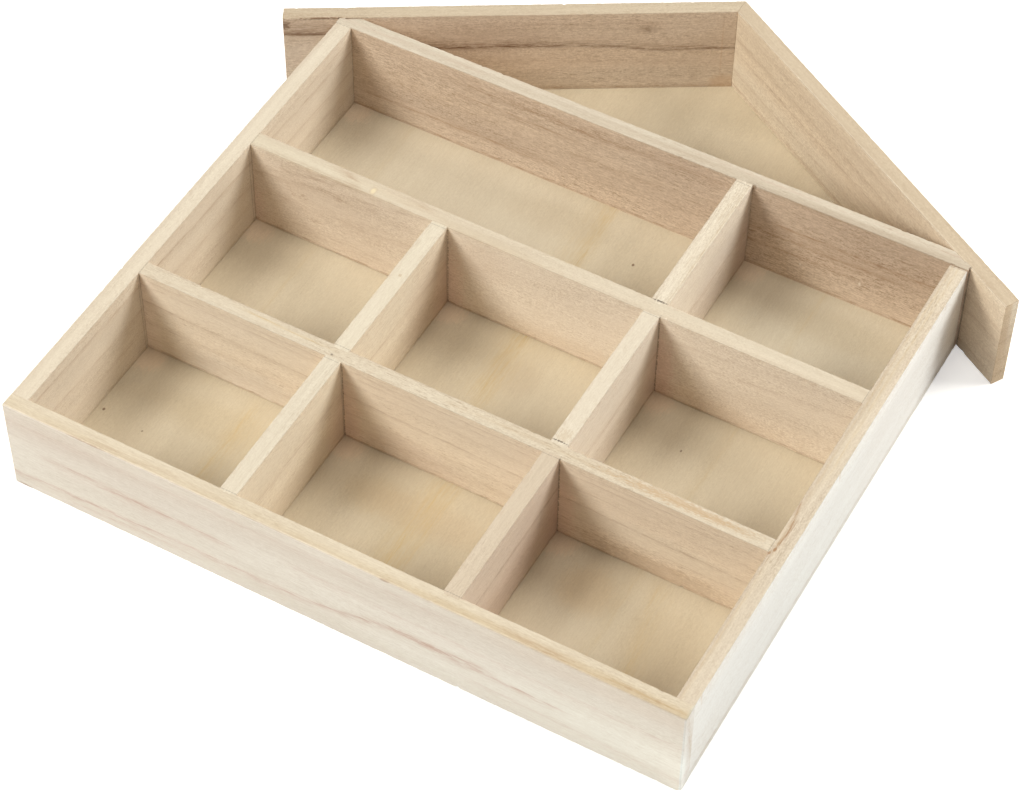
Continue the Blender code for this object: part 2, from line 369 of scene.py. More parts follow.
def timber(name, start, angle, looks, lines=(), spots=(), stains=(), rim=None, faces=(), ends=None,
           torn=0.2, top=1.07):
    """
    The finish of one board. Its grain, growth lines and spots are placed in the board's own
    millimetres, from the corner that start and angle give. A spot is (strength, colour, centre,
    size) and maybe a fray, and a stain is a spot that only tints the grain: the wood's own tone in
    some, painted light and painted shade in others. rim is the tint of the top edge, each of faces
    tints one side: (distance across, +1 beyond it or -1 before it, colour), ends are the two places
    where the board is sawn off and shows darker end grain, torn is how brown its worn arrises are,
    and top is how much paler its sides are painted below the rim, a painted band of light.
    """
    material = bpy.data.materials.new(name)
    material.use_nodes = True
    tree = material.node_tree
    shader = tree.nodes["Principled BSDF"]
    wires = {
        "Vector": node(tree, "TexCoord").outputs["Object"],
        "Location": (start[0] * MM, start[1] * MM, 0),
        "Rotation": (0, 0, angle),
        "Scale": (MM, MM, MM),
    }
    board = node(tree, "Mapping", wires, vector_type="TEXTURE").outputs[0]
    wood = use_group(tree, grain, {"Vector": board, **looks})
    colour = wood["Color"]
    parts = node(tree, "SeparateXYZ", {0: board}).outputs
    if rim:
        on_rim = step_up(parts[2], RIM - 0.35, RIM - 0.18)
        colour = blend(on_rim, colour, (*rim, 1), "MULTIPLY")
        # Painted light: top paints a paler band on the sides just below the rim, where more light
        # falls.
        upper = reckon("SUBTRACT", step_up(parts[2], RIM - 13.0, RIM - 1.0), on_rim)
        colour = blend(upper, colour, (top, top, top, 1), "MULTIPLY")
    for across, way, tint in faces:
        side = step_up(parts[1], across, across + 0.3 * way)
        colour = blend(side, colour, (*tint, 1), "MULTIPLY")
    marks = [("MULTIPLY", spot, *spot_shape(stain)) for stain in stains]
    marks += [("MIX", growth_line, *line) for line in lines]
    marks += [("MIX", spot, *spot_shape(fleck)) for fleck in spots]
    for mode, group, strength, tint, shape in marks:
        mask = use_group(tree, group, {"Vector": board, **shape})["Mask"]
        colour = blend(reckon("MULTIPLY", mask, strength), colour, (*tint, 1), mode)
    if ends:
        low = reckon("SUBTRACT", 1.0, step_up(parts[0], ends[0] + 0.05, ends[0] + 0.3))
        high = step_up(parts[0], ends[1] - 0.3, ends[1] - 0.05)
        colour = blend(reckon("MAXIMUM", low, high), colour, (*END_GRAIN, 1), "MULTIPLY")
    worn = node(tree, "Attribute", attribute_name="arris").outputs["Fac"]
    rough = step_up(stretched_noise(board, (0.3, 1.2, 1.2), detail=3.0), 0.5, 0.66)
    rough = reckon("MULTIPLY", worn, reckon("MULTIPLY", rough, torn))
    bump = {"Height": wood["Height"], "Strength": 0.5, "Distance": GRAIN_DEPTH}
    wire(tree, shader, {
        "Base Color": blend(rough, colour, (*TORN_BROWN, 1)),
        "Roughness": wood["Roughness"],
        "Normal": node(tree, "Bump", bump).outputs[0],
        "Specular IOR Level": DRY_WOOD_SHINE,
    })
    return material


PINK_BROWN = (0.58, 0.39, 0.30)
GROWTH_BROWN = (0.40, 0.25, 0.15)
DARK_BROWN = (0.20, 0.11, 0.06)
GOLD = (0.60, 0.44, 0.22)
RIM_BROWN = (0.47, 0.33, 0.18)
FOOT_BROWN = (0.36, 0.22, 0.12)
GLUE_LINE = (0.13, 0.10, 0.08)
AVERAGE = 0.35  # how much dark wood there is in a board's mean colour
RIM_LEAN = -6.0  # how far a growth line leans that is to cross the top edge
MIDWAY_UP = 22


def labelled(values):
    """Named values, under the labels of a node group's sockets."""
    return {name.capitalize().replace("_", " "): value for name, value in values.items()}


def tones(colour, depth=1.0, **looks):
    """The light and the dark wood whose usual mixture is a board's own colour, and its other looks."""
    pale, brown = [], []
    for part, drop in zip(colour, (0.30, 0.36, 0.42)):
        brown.append(part * (1 - drop * depth))
        pale.append(part * (1 + drop * depth * AVERAGE / (1 - AVERAGE)))
    return {"Pale": (*pale, 1), "Brown": (*brown, 1), "Base": AVERAGE, **labelled(looks)}


def growth(strength, height, width, wander=1.0, tint=GROWTH_BROWN, **shape):
    """A growth line of a board. shape holds any other of the growth line's values."""
    return (strength, tint, labelled({"height": height, "width": width, "wander": wander, **shape}))


def foot_line(strength, seed):
    """The brown, torn line low on a board, where the plywood's edge has rubbed it."""
    return growth(strength, 3.4, 0.7, 0.25, FOOT_BROWN, lean=0.0, ragged=2.2, seed=seed)


def rim_line(strength, tint, across, first, last, seed, width=0.5, ragged=4.0):
    """
    A streak in the top edge, across millimetres over its thickness. The growth line leans so far
    that it crosses the edge there, and it fades towards more.
    """
    shape = {"lean": RIM_LEAN, "first": first - 10, "last": last + 10, "ragged": ragged, "seed": seed}
    return growth(strength, RIM - RIM_LEAN * across, RIM_LEAN * width, 1.2, tint, **shape)


def glue_lines(*places):
    """Thin dark lines across a board where its ends are glued to the next boards."""
    return [(0.32, GLUE_LINE, (place, 0, MIDWAY_UP), (0.26, 60, 60), 2.8) for place in places]


def set_in(name, wood, start, angle, slot, looks, **marks):
    """Gives a board its finish and sets it in its place."""
    finish = timber(name.replace("_", " ") + " wood", start, angle, looks, **marks)
    fit(name, wood, start, angle, finish)


base = plank(2 * BODY_HALF, BASE_THICKNESS)
planed(base, 1)
set_in(
    "base_board", base, (-BODY_HALF, BASE_Y), 0, "base_wood",
    tones((0.808, 0.736, 0.641), 0.75, seed=0.37, rise=0.09, run=0.3, streaks=0.4, dashes=0.2,
          wool=0.42, bands=0.7, rim=0.4),
    lines=[
        growth(0.9, 7.1, 1.5, 0.4, rise=0.03, jog=5.5, jog_at=142, last=203, tint=PINK_BROWN),
        growth(0.9, 16.4, -0.9, 0.4, first=138, last=188, seed=2, tint=PINK_BROWN),
        growth(0.95, 22.3, 1.1, 0.4, rise=-0.03, first=166, last=230, seed=3, tint=PINK_BROWN),
        growth(0.6, 22.9, 2.2, 0.3, first=8, last=70, seed=4, tint=PINK_BROWN),
        growth(1.0, 21.8, 1.2, 0.3, first=34, last=100, seed=5, tint=PINK_BROWN),
        growth(0.5, 2.0, 1.0, 0.3, rise=0.06, first=16, last=84, seed=6, tint=PINK_BROWN),
        growth(0.35, 28.0, 2.5, 0.8, rise=-0.01, first=110, seed=7, tint=PINK_BROWN),
        growth(0.30, 36.0, 2.5, 0.8, rise=0.01, last=190, seed=8, tint=PINK_BROWN),
        growth(0.30, 12.0, 2.0, 0.8, rise=-0.02, first=180, seed=9, tint=PINK_BROWN),
        rim_line(0.40, RIM_BROWN, 0.8, -20, 300, 1, width=1.2),
        rim_line(0.55, GROWTH_BROWN, 1.9, 40, 54, 2, width=0.4),
        rim_line(0.50, GROWTH_BROWN, 2.0, 60, 84, 3, width=0.4),
        rim_line(0.50, GROWTH_BROWN, 1.9, 198, 224, 4, width=0.7),
        rim_line(1.00, GROWTH_BROWN, 0.7, 212, 221, 5, width=0.3),
        rim_line(1.00, RIM_BROWN, 1.6, 244, 266, 6, width=0.6),
        rim_line(0.20, RIM_BROWN, 3.4, -20, 70, 8),
    ],
    spots=[
        (0.60, GROWTH_BROWN, (4, 0, 0.3), (4, 3, 1.0), 1.2),
        (0.55, GROWTH_BROWN, (36, 0, RIM), (11, 0.6, 0.6), 1.6),
        (0.60, GROWTH_BROWN, (156, 0, RIM - 0.2), (2.2, 0.8, 0.8), 1.2),
        (0.35, GROWTH_BROWN, (248, 1.6, RIM), (1.6, 0.6, 0.8), 1.2),
        (0.35, GROWTH_BROWN, (258.7, 1.6, RIM), (1.4, 0.6, 0.8), 1.2),
    ],
    stains=[
        (0.60, (0.94, 0.92, 0.90), (60, 0, 39), (90, 3, 7)),
        (0.60, (0.97, 0.93, 0.90), (236, 0, 39), (60, 3, 7)),
        (0.20, (0.81, 0.73, 0.71), (15, 0, 36), (42, 5, 9)),
        (0.60, (1.12, 1.16, 1.18), (135, 0, 12), (400, 4, 22)),
        (0.60, (1.10, 1.13, 1.15), (230, 0, 12), (120, 4, 26)),
        (0.40, (0.90, 0.88, 0.86), (120, 0, 4), (60, 4, 8), 0.7),
        (0.40, (0.93, 0.90, 0.84), (135, 0.8, RIM), (400, 2.8, 1.5), 0.8),
        (0.80, (0.90, 0.86, 0.79), (236, 0.9, RIM), (120, 3.2, 1.5), 0.8),
        # A painted highlight along the front arris of the top edge.
        (1.00, (1.14, 1.17, 1.26), (75, 0, RIM), (240, 0.9, 0.9)),
        # Painted light: the sawn right end is painted paler and cooler, as lit by the lamp on the
        # right.
        (1.00, (0.98, 1.04, 1.12), (270, 3.2, 22), (0.9, 90, 90), 0.1),
        (0.50, (0.90, 0.88, 0.87), (45, 0, 25), (75, 4, 16)),
        (0.60, (1.06, 1.08, 1.08), (255, 0, 14), (60, 4, 26)),
    ],
    rim=(0.85, 0.814, 0.725),
    torn=0.0, top=1.0, ends=(0, 600),
)

# Side walls
# Two upright boards, as deep as the base board. Each stands between the base board and the tie
# beam, flush with their ends, and takes the ends of both shelves.
WALL_THICKNESS = 6.9
WALL_FOOT_Y = BASE_Y + BASE_THICKNESS
WALL_TOP_Y = 67.58
WALL_LENGTH = WALL_TOP_Y - WALL_FOOT_Y
INSIDE_HALF = BODY_HALF - WALL_THICKNESS
JOINT = 0.04  # the gap in a mitre and around the panel
PRESSED = 0.4  # how far board ends go into the boards that they meet

NOTCH_BROWN = (0.36, 0.21, 0.11)

walls = {
    "left_wall": {
        "start": (-INSIDE_HALF, WALL_FOOT_Y),
        "looks": tones((0.766, 0.676, 0.56), seed=1.71, streaks=0.22, wool=1.05, rim=-0.3),
        "rim": (0.92, 0.915, 0.88),
        "lines": [
            growth(0.55, 38.9, 0.9, 0.6, rise=-0.032),
            growth(0.35, 25.0, 1.3, rise=-0.015, seed=2),
            growth(0.30, 13.5, 1.3, seed=3),
            growth(0.35, 38.5, 0.7, 0.5, first=140, seed=4),
            foot_line(0.5, 5),
        ],
        "spots": [
            (0.25, GLUE_LINE, (place, 0, MIDWAY_UP), (0.35, 1, 40), 3.0) for place in (68.3, 143.6)
        ],
        # Painted shade on the inner face, just below each shelf and below the tie beam.
        "stains": [(0.5, (0.88, 0.87, 0.86), (place, 0, 28), (14, 3, 14)) for place in (54, 124, 204)],
    },
    "right_wall": {
        "start": (BODY_HALF, WALL_FOOT_Y),
        "looks": tones((0.702, 0.603, 0.475), 0.8, seed=2.33, bands=0.4, streaks=0.22, wool=0.85),
        "rim": (0.92, 0.92, 0.92),
        # Painted light: the outer face is painted far paler and cooler, the glare of the strong lamp on
        # the right.
        "faces": [(0.3, -1, (1.18, 1.36, 1.66))],
        "lines": [
            growth(0.4, 64.0, 3.0, 2.0, lean=RIM_LEAN, first=100, last=240, tint=GOLD),
            growth(0.4, 76.0, 3.0, 2.0, lean=RIM_LEAN, seed=2, tint=GOLD),
            growth(1.0, 115.4, -3.0, 0.3, rise=-0.584, lean=RIM_LEAN, first=58, last=92, ragged=1.0,
                   seed=11, tint=NOTCH_BROWN),
            growth(1.0, -3.6, -3.0, 0.3, rise=0.92, lean=RIM_LEAN, first=68, last=106, ragged=1.0,
                   seed=12, tint=NOTCH_BROWN),
            foot_line(0.6, 8),
        ],
        "spots": [
            (0.7, NOTCH_BROWN, (67.6, 6.5, RIM), (1.2, 0.7, 1.0), 1.2),
            (0.9, NOTCH_BROWN, (69.9, 5.3, RIM), (1.3, 0.7, 1.0), 1.2),
            (0.4, (0.74, 0.63, 0.47), (80, WALL_THICKNESS, RIM), (12, 1.6, 3)),
        ],
        "stains": [
            # These two temper the painted light on the outer face: the first takes it back towards tan
            # wood at the far end under the eave, the second warms it along the middle.
            (0.9, (0.93, 0.84, 0.72), (226, 0, 14), (34, 3, 30), 0.4),
            (0.5, (1.0, 0.965, 0.95), (170, 0, 22), (50, 3, 60), 0.6),
        ],
    },
}
for seed, (name, wall) in enumerate(walls.items(), 2):
    board = plank(WALL_LENGTH + 2 * PRESSED, WALL_THICKNESS, start=-PRESSED)
    planed(board, seed)
    inner_edge = (0.6, (0.92, 0.90, 0.89), (110, WALL_THICKNESS, RIM), (300, 3.2, 1.5), 0.8)
    set_in(
        name, board, wall["start"], math.pi / 2, "wall_wood", wall["looks"],
        lines=wall["lines"],
        spots=[*wall["spots"], *glue_lines(WALL_LENGTH - 0.1)],
        stains=[inner_edge, *wall["stains"]],
        rim=wall["rim"],
        faces=wall.get("faces", ()),
    )

# Tie beam
# A browner board across the tops of both walls. Its ends are bevelled to the slope of the roof
# above a small square part, and its back is rebated between the walls for the plywood back.
BEAM_THICKNESS = 7.6
BEAM_END_SQUARE = 2.8
ROOF_SLOPE = math.radians(30.9)
PANEL_BACK = 2.6  # the height at which the boards lie on the plywood


def lean(wood, low, high, front, back):
    """
    Leans a board's two sides a little, as they were planed. front and back are how far their top
    edges are pushed across at the places low and high along the board.
    """
    middle = sum(vert.co.y for vert in wood.verts) / len(wood.verts)
    for vert in wood.verts:
        first, last = front if vert.co.y < middle else back
        part = min(max((vert.co.x - low) / (high - low), 0), 1)
        vert.co.y += (first + (last - first) * part) * vert.co.z / RIM


def saw(wood, place, way, waste=True):
    """
    Saws a piece at a place. What lies that way is waste and falls off, and the cut is closed. With
    no waste it only parts the faces there.
    """
    geometry = wood.verts[:] + wood.edges[:] + wood.faces[:]
    cut = bmesh.ops.bisect_plane(wood, geom=geometry, plane_co=place, plane_no=way, clear_outer=waste)
    if waste:
        edges = [part for part in cut["geom_cut"] if isinstance(part, bmesh.types.BMEdge)]
        bmesh.ops.edgenet_fill(wood, edges=edges)


beam = bmesh.new()
beam_length = 2 * BODY_HALF
ears = (WALL_THICKNESS, beam_length - WALL_THICKNESS)
profile = [
    (0, 0), (ears[0], 0), (ears[0], PANEL_BACK), (ears[1], PANEL_BACK),
    (ears[1], 0), (beam_length, 0), (beam_length, RIM), (0, RIM),
]
profile_face = beam.faces.new([beam.verts.new((along, 0, up)) for along, up in profile])
pushed = bmesh.ops.extrude_discrete_faces(beam, faces=[profile_face])["faces"][0]
bmesh.ops.translate(beam, vec=(0, BEAM_THICKNESS, 0), verts=pushed.verts)
bmesh.ops.holes_fill(beam, edges=[edge for edge in beam.edges if edge.is_boundary])
for end, sign in ((0, -1), (beam_length, 1)):
    saw(beam, (end, BEAM_END_SQUARE, 0), (sign * math.sin(ROOF_SLOPE), math.cos(ROOF_SLOPE), 0))
for along in ears:
    saw(beam, (along, 0, 0), (1, 0, 0), waste=False)
saw(beam, (0, 0, PANEL_BACK), (0, 0, 1), waste=False)
bmesh.ops.recalc_face_normals(beam, faces=beam.faces)
planed(beam, 4)
lean(beam, 35, 205, front=(0.1, 1.0), back=(-0.7, 0.0))
set_in(
    "tie_beam", beam, (-BODY_HALF, WALL_TOP_Y), 0, "beam_wood",
    tones((0.658, 0.531, 0.414), seed=4.13, rise=0.16, streaks=1.0, dashes=1.1, wool=1.8,
          bands=0.65, rim=-0.65),
    lines=[
        growth(0.75, 11.4, -1.3, 0.5, first=6, last=104),
        growth(0.75, 30.4, 0.9, 0.5, first=48, last=118, seed=2),
        growth(0.80, 36.7, 0.6, 0.2, first=92, last=134, seed=3),
        growth(0.50, 36.5, -2.6, 0.7, first=44, last=180, seed=4),
        growth(0.55, 23.4, 0.9, 0.5, first=98, last=150, seed=5),
        growth(0.80, 27.9, 0.8, 0.4, first=186, last=280, seed=6),
        growth(0.60, 21.9, -1.2, 0.4, first=170, last=250, seed=7),
        growth(0.65, 15.4, -1.4, 0.4, first=170, last=232, seed=8),
        growth(0.45, 25.6, 1.6, 0.5, last=175, seed=9, tint=(0.68, 0.56, 0.43)),
        rim_line(0.35, PINK_BROWN, 3.1, -20, 60, 10, width=0.7),
        rim_line(0.30, PINK_BROWN, 5.2, 160, 300, 11, width=0.7),
        foot_line(0.8, 12),
    ],
    spots=[
        (0.22, GLUE_LINE, (182.5, 0, MIDWAY_UP), (0.36, 2, 40), 3.0),
        (0.6, (0.22, 0.14, 0.09), (183.0, 0.6, RIM - 0.4), (1.2, 1.6, 1.4), 1.0),
        (0.7, (0.82, 0.74, 0.64), (229.6, 0, 14.6), (0.7, 2, 1.3), 1.2),
        (0.6, (0.82, 0.74, 0.64), (205, 0, 12.5), (0.5, 2, 0.9), 1.2),
    ],
    stains=[
        (0.50, (0.84, 0.82, 0.81), (85, 0, 18), (75, 8, 8), 0.9),
        (0.35, (0.64, 0.56, 0.51), (232, 0, 40), (62, 5, 34), 0.4),
        (0.40, (0.86, 0.83, 0.82), (160, 0, 25), (34, 5, 30)),
        (0.30, (0.88, 0.86, 0.84), (240, 4, RIM), (90, 8, 1.5)),
        (0.50, (1.02, 1.03, 1.04), (135, 6.3, RIM), (600, 2.6, 1.5)),
        *[(0.8, (1.05, 1.08, 1.09), (place, 6.3, RIM), (34, 2.6, 1.5)) for place in (24, 150, 236)],
        (0.80, (0.93, 0.92, 0.90), (180, 2.0, RIM), (150, 3.4, 1.5)),
        (0.70, (0.90, 0.91, 0.93), (45, 0, 10), (75, 4, 14)),
        # Painted shade in the corner just right of the divider's joint.
        (0.50, (0.88, 0.88, 0.90), (184, 0, 22), (12, 4, 50)),
    ],
    rim=(0.967, 1.045, 1.068),
)

# Roof boards
# Two thinner boards mitred together at the ridge and sawn square at the eaves. Each lies on its
# bevelled end of the tie beam and runs past the wall below it.
ROOF_THICKNESS = 5.7
ROOF_LENGTH = 179.83
RIDGE_INNER_Y = 151.177
ROOF_FLARE = 0.5
MITRE_RUN = ROOF_THICKNESS * math.tan(ROOF_SLOPE)
ROOF_JOINT = (BODY_HALF + 0.3) / math.cos(ROOF_SLOPE)

roofs = {
    "left_roof_board": {
        "angle": math.pi + ROOF_SLOPE,
        "thickness": -ROOF_THICKNESS,
        "slot": "left_roof_wood",
        "looks": tones((0.742, 0.61, 0.476), seed=6.2, rise=0.14, streaks=0.55, dashes=0.5, wool=1.5,
                       bands=0.5, rim=-0.4),
        "lines": [
            growth(0.30, 23.5, -2.6, 0.3, jog=2.8, jog_at=45, last=150, seed=5),
            growth(1.00, 23.5, -1.1, 0.3, jog=2.8, jog_at=45, last=150, ragged=1.4, seed=5,
                   tint=DARK_BROWN),
            growth(0.60, 26.0, -1.6, 0.5, first=62, last=135, ragged=2.2, seed=6, tint=DARK_BROWN),
            growth(0.50, 25.0, -0.8, 0.5, first=4, last=50, seed=7),
            growth(0.45, 38.0, 0.9, 0.6, first=20, last=90, seed=8),
            growth(0.30, 17.0, 2.4, rise=0.02, seed=9),
            growth(0.75, 34.9, -6.0, 0.15, first=140, ragged=1.2, seed=10),
            growth(1.00, 34.7, -1.5, 0.15, first=140, ragged=0.4, seed=10, tint=DARK_BROWN),
            growth(0.60, 38.6, -0.7, 0.3, first=144, ragged=2.0, seed=11, tint=DARK_BROWN),
            foot_line(0.6, 12),
        ],
        "spots": [
            (0.30, (0.34, 0.22, 0.14), (35, 0, 34.6), (6.0, 4, 2.8), 1.6),
            (0.40, (0.28, 0.17, 0.10), (35.3, 0, 34.5), (1.9, 3, 1.6), 1.4),
            (0.75, DARK_BROWN, (179.5, 0, 39.8), (3.0, 3, 2.6), 3.0),
            (0.60, DARK_BROWN, (170, 0, 34.8), (12, 3, 0.9), 1.4),
            (0.80, DARK_BROWN, (164, 0, RIM - 0.2), (11, 0.7, 0.7), 2.2),
            (0.35, (0.60, 0.38, 0.20), (4, 0, 5), (7, 3, 5.5), 1.2),
            (0.25, (0.60, 0.38, 0.20), (5.2, 0, 24), (0.4, 2, 20), 1.8),
            (0.45, GLUE_LINE, (ROOF_JOINT, 0, MIDWAY_UP), (0.5, 1, 40), 2.6),
        ],
        "stains": [
            (0.60, (0.80, 0.76, 0.74), (100, 0, 31), (34, 4, 12), 0.6),
            (0.35, (0.92, 0.98, 1.04), (20, 0, 6), (80, 4, 16)),
            # Painted shadow on the inner face of the eave, just beyond the wall.
            (0.60, (0.89, 0.91, 0.95), (163, 0, 20), (26, 4, 24)),
            (0.40, (0.74, 0.68, 0.64), (176, 0, 40), (24, 4, 7), 1.0),
            (0.60, (0.85, 0.85, 0.85), (60, 0, 6), (130, 4, 10)),
        ],
        "rim": (0.815, 0.83, 0.787),
        "top": 1.10,
    },
    "right_roof_board": {
        "angle": -ROOF_SLOPE,
        "thickness": ROOF_THICKNESS,
        "slot": "right_roof_wood",
        "looks": tones((0.784, 0.664, 0.507), seed=7.9, rise=0.2, streaks=0.4, dashes=0.2, wool=1.6,
                       rim=-0.4),
        "lines": [
            growth(0.25, 37.4, 1.4, 0.7, seed=5),
            growth(0.35, 29.6, 1.6, 0.7, seed=6),
            growth(0.50, 22.9, 1.3, 0.6, seed=7),
            growth(0.35, 12.4, 1.6, 0.7, seed=8),
            growth(0.55, 4.9, 1.0, 0.6, seed=9),
        ],
        "spots": [(0.5, GLUE_LINE, (ROOF_JOINT, 0, MIDWAY_UP), (0.5, 1, 40), 2.2)],
        "stains": [
            (0.35, (0.63, 0.54, 0.47), (168, 0, 20), (24, 6, 34), 0.6),
            (0.60, (0.91, 0.96, 1.02), (20, 0, 4), (110, 4, 20)),
            # A painted highlight along the inner arris of the top edge.
            (1.00, (1.18, 1.22, 1.28), (90, 0, RIM), (400, 0.7, 0.8), 0.4),
        ],
        "rim": (0.742, 0.715, 0.682),
        "top": 1.07,
    },
}
for seed, (name, roof) in enumerate(roofs.items(), 5):
    board = plank(ROOF_LENGTH + MITRE_RUN, roof["thickness"], start=-MITRE_RUN)
    side = math.cos(roof["angle"])
    away = Vector((side, -math.sin(roof["angle"]), 0)) * (1 if side > 0 else -1)
    saw(board, away * JOINT, -away)
    bmesh.ops.recalc_face_normals(board, faces=board.faces)
    planed(board, seed)
    for vert in board.verts:
        if abs(vert.co.y) > ROOF_THICKNESS / 2:
            flare = ROOF_FLARE * vert.co.z / RIM
            outward = math.copysign(flare, roof["thickness"])
            vert.co += Vector((-flare * math.tan(ROOF_SLOPE), outward, 0))
    set_in(
        name, board, (0, RIDGE_INNER_Y), roof["angle"], roof["slot"], roof["looks"],
        lines=roof["lines"],
        spots=roof["spots"],
        stains=roof["stains"],
        rim=roof["rim"],
        top=roof["top"],
        ends=(-50, ROOF_LENGTH),
    )

# Shelves
# Two boards from wall to wall on the plywood back, butted and glued at their ends. They part the
# house into three rows, and both were glued in a little lower on the right.
SHELF_THICKNESS = 6.9
ROW_HEIGHT = 68.4
DIVIDER_THICKNESS = 6.8
LET_IN = 1.3  # how far divider ends go into the shelves, which run a little out of square
LEFT_DIVIDER_X = 79.8 - INSIDE_HALF
RIGHT_DIVIDER_X = LEFT_DIVIDER_X + DIVIDER_THICKNESS + 82.0
LOWER_SHELF_Y = WALL_FOOT_Y + ROW_HEIGHT
UPPER_SHELF_Y = LOWER_SHELF_Y + SHELF_THICKNESS + ROW_HEIGHT

shelves = {
    "lower_shelf": {
        "y": LOWER_SHELF_Y,
        "fall": 1.6,
        "front": (0.3, 0.4),
        "back": (-0.45, -0.45),
        "looks": tones((0.851, 0.727, 0.579), seed=8.4, streaks=0.32, wool=0.75, dashes=0.4, rim=0.2),
        "rim": (0.776, 0.788, 0.77),
        "lines": [
            growth(0.50, 28.6, 0.7, 0.4, rise=-0.028, seed=11),
            growth(0.35, 40.3, 0.5, 0.3, seed=12),
            growth(0.30, 37.5, 0.5, 0.3, seed=13),
            growth(0.25, 35.4, 0.6, 0.4, rise=-0.02, first=75, seed=14),
            growth(0.25, 17.5, 0.8, 0.5, rise=-0.01, seed=15),
            growth(0.30, 10.0, 3.0, 0.7, ragged=4.0, seed=16, tint=(0.50, 0.33, 0.20)),
            rim_line(0.85, GOLD, 4.4, 46, 56, 18, width=0.3, ragged=6.0),
            rim_line(0.85, GOLD, 3.9, 57, 76, 19, width=0.3, ragged=6.0),
            rim_line(0.40, RIM_BROWN, 3.0, 130, 245, 20, width=0.9, ragged=9.0),
            rim_line(0.55, RIM_BROWN, 2.2, 190, 245, 21, ragged=9.0),
            foot_line(0.7, 17),
        ],
        "spots": [
            (0.45, (0.52, 0.34, 0.18), (222, 3.4, RIM), (30, 2.4, 2), 3.4),
            (0.80, (0.22, 0.18, 0.15), (81.8, 2.1, RIM), (0.6, 0.6, 1), 0.8),
        ],
        "stains": [
            (0.45, (0.55, 0.47, 0.40), (216, 0, 6), (40, 3, 8), 1.8),
            # Painted light, which lifts the shade in the corner at the left end.
            (0.90, (1.18, 1.17, 1.24), (0, 0, 22), (10, 2, 36), 0.8),
            (0.70, (0.87, 0.84, 0.85), (112, 0, 7), (34, 3, 11)),
            (0.60, (0.86, 0.89, 0.95), (42, 0, 7), (38, 3, 12)),
            (0.50, (0.94, 0.97, 1.00), (35, 0, 24), (60, 3, 40), 0.4),
            (0.50, (0.92, 0.95, 0.97), (214, 0, 19), (45, 3, 9)),
            (0.50, (1.04, 1.07, 1.09), (140, 0, 28), (36, 3, 30)),
            (0.60, (1.04, 1.08, 1.13), (234, 5.6, RIM), (18, 2.4, 1.5)),
            (0.70, (0.94, 0.95, 0.96), (140, 0, 7), (26, 3, 11)),
        ],
    },
    "upper_shelf": {
        "y": UPPER_SHELF_Y,
        "fall": 2.1,
        "front": (0.7, 0.6),
        "back": (0.8, 0.5),
        "looks": tones((0.845, 0.741, 0.614), seed=9.6, warp=2.5, streaks=0.36, wool=1.35, bands=0.07,
                       rings=0.05, rim=-0.5),
        "rim": (0.78, 0.765, 0.715),
        "lines": [
            growth(0.60, 31.8, -1.2, 0.3, rise=0.23, first=6, last=56, seed=11),
            growth(0.40, 29.2, 1.2, 0.3, rise=0.165, first=-10, last=82, seed=12),
            growth(0.15, 7.6, 1.1, 0.3, rise=0.206, first=96, last=178, seed=13),
            growth(0.22, 11.6, 0.9, 0.4, rise=0.12, first=172, seed=14),
            growth(0.26, 3.3, 0.9, 0.4, rise=0.119, first=182, seed=15),
            growth(0.30, 33.0, 4.0, rise=0.02, first=0, last=84, ragged=9.0, seed=18),
            growth(0.30, 20.0, 4.0, rise=0.05, first=0, last=84, ragged=9.0, seed=19),
            growth(0.30, 9.0, 4.0, first=0, last=84, ragged=9.0, seed=20),
            rim_line(0.45, RIM_BROWN, 5.0, 55, 72, 21),
            rim_line(0.35, RIM_BROWN, 3.4, 58, 84, 22, width=0.4),
            rim_line(0.30, RIM_BROWN, 1.2, 10, 130, 23, width=0.4),
            foot_line(0.75, 17),
        ],
        "spots": [
            (0.55, GROWTH_BROWN, (38.5, 0, 33.5), (4.2, 2, 1.4), 3.0),
            (0.45, GROWTH_BROWN, (21.5, 0, 26.5), (5.0, 2, 2.0), 3.2),
            (0.40, GROWTH_BROWN, (27.5, 0, 16), (4, 2, 1.2), 3.0),
            (0.35, (0.56, 0.42, 0.27), (53.2, 3.4, RIM), (1.9, 2.7, 2), 0.8),
            (0.70, (0.84, 0.72, 0.48), (53.2, 3.4, RIM), (1.2, 1.9, 2)),
        ],
        "stains": [
            (0.30, (0.72, 0.62, 0.52), (160, 0, 5), (90, 8, 9), 1.2),
            (0.35, (0.71, 0.64, 0.59), (20, 0, 20), (70, 5, 40)),
            # Painted shade in the corners at the left end and just right of the right divider.
            (0.80, (1.0, 0.90, 0.92), (0, 0, 14), (9, 2, 30), 0.8),
            (0.60, (0.93, 0.90, 0.93), (178, 0, 14), (9, 2, 30), 0.8),
            (0.60, (0.95, 0.92, 0.90), (215, 0, 12), (40, 3, 14), 0.8),
            (0.80, (1.06, 1.09, 1.09), (22, 3.4, RIM), (50, 6, 1.5)),
            (0.60, (1.05, 1.08, 1.10), (200, 6.0, RIM), (90, 4, 1.5)),
            (0.80, (0.94, 0.92, 0.89), (101, 2.4, RIM), (28, 3, 1.5)),
            (0.70, (0.95, 0.93, 0.91), (62, 5.4, RIM), (28, 2.6, 1.5)),
            (0.70, (0.92, 0.92, 0.92), (214, 0, 18), (45, 3, 9)),
            (0.60, (0.92, 0.89, 0.87), (100, 0, 33), (18, 3, 14), 0.6),
        ],
    },
}
